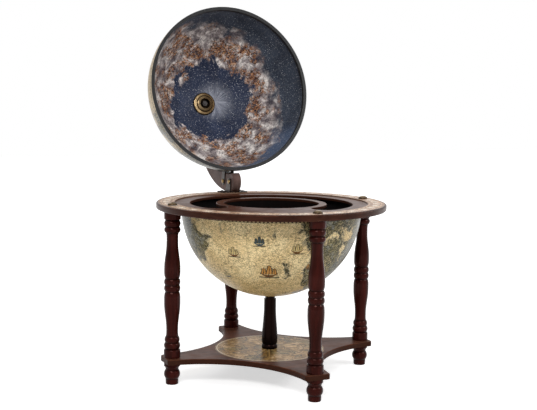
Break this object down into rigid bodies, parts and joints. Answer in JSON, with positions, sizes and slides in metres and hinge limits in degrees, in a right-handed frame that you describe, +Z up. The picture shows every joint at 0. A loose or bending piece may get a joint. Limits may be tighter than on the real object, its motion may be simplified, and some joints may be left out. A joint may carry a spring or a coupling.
{
  "type": "tabletop globe bar",
  "caption": "Tabletop antique-style globe bar: lower half of the globe holds bottles in a ring on turned posts, upper half swings back as a lid on an arc.",
  "frame": {"origin": "centre of the round bottle opening on the top face of the insert board", "axes": "+X to the right, +Y towards the lid's hinge, +Z up"},
  "size_m": [0.4209, 0.6193, 0.6892],
  "materials": {
    "ring_wood": "glossy lacquer",
    "post_wood": "glossy mahogany lacquer",
    "plate_wood": "glossy lacquer",
    "column_wood": "satin dark lacquer",
    "inner_wood": "matt dark stain",
    "arc_wood": "satin grey-brown stain",
    "bowl_print": "antique map print under satin varnish",
    "lid_print": "antique map print under satin varnish",
    "liner_print": "night sky print, satin",
    "insert_print": "glossy mauve-brown print",
    "band_print": "printed calendar band under varnish",
    "map_print": "printed map under varnish",
    "rim_black": "black satin edge hoop",
    "brass": "antique polish",
    "steel": "plain",
    "dark_iron": "dark bronze paint"
  },
  "bodies": {
    "stand": {"horizon_ring": "ring_wood", "horizon_band": "band_print", "insert_board": "insert_print", "insert_screws": "steel", "bowl_shell": "bowl_print", "well_floor": "inner_wood", "well_tube": "inner_wood", "glass_floor": "inner_wood", "ring_screws": "steel", "ring_caps": "brass", "foot_dowels": "steel", "post_front": "post_wood", "post_right": "post_wood", "post_back": "post_wood", "post_left": "post_wood", "foot_front": "post_wood", "foot_right": "post_wood", "foot_back": "post_wood", "foot_left": "post_wood", "base_plate": "plate_wood", "base_map": "map_print", "centre_column": "column_wood", "bowl_spacer": "column_wood", "tie_rod": "steel", "tie_washer": "steel", "tie_nut": "steel", "hinge_bracket_left": "dark_iron", "hinge_bracket_right": "dark_iron", "hinge_screws": "dark_iron", "hinge_pin": "brass", "hinge_pin_cap": "brass"},
    "lid": {"lid_shell": "lid_print", "lid_liner": "liner_print", "lid_rim_hoop": "rim_black", "meridian_arc": "arc_wood", "hinge_bush": "brass", "rim_bracket_left": "dark_iron", "rim_bracket_right": "dark_iron", "rim_bracket_bolt": "brass", "rim_bracket_nut": "brass", "rim_bracket_screws": "dark_iron", "pole_spacer": "column_wood", "pole_bolt": "brass", "pole_cup": "brass", "pole_nut": "steel"}
  },
  "joints": [
    {"name": "lid_hinge", "type": "hinge", "parent": "stand", "child": "lid", "pos_m": [0, 0.184, 0.0235], "axis": [1, 0, 0], "range_deg": [0, 102.58]}
  ]
}
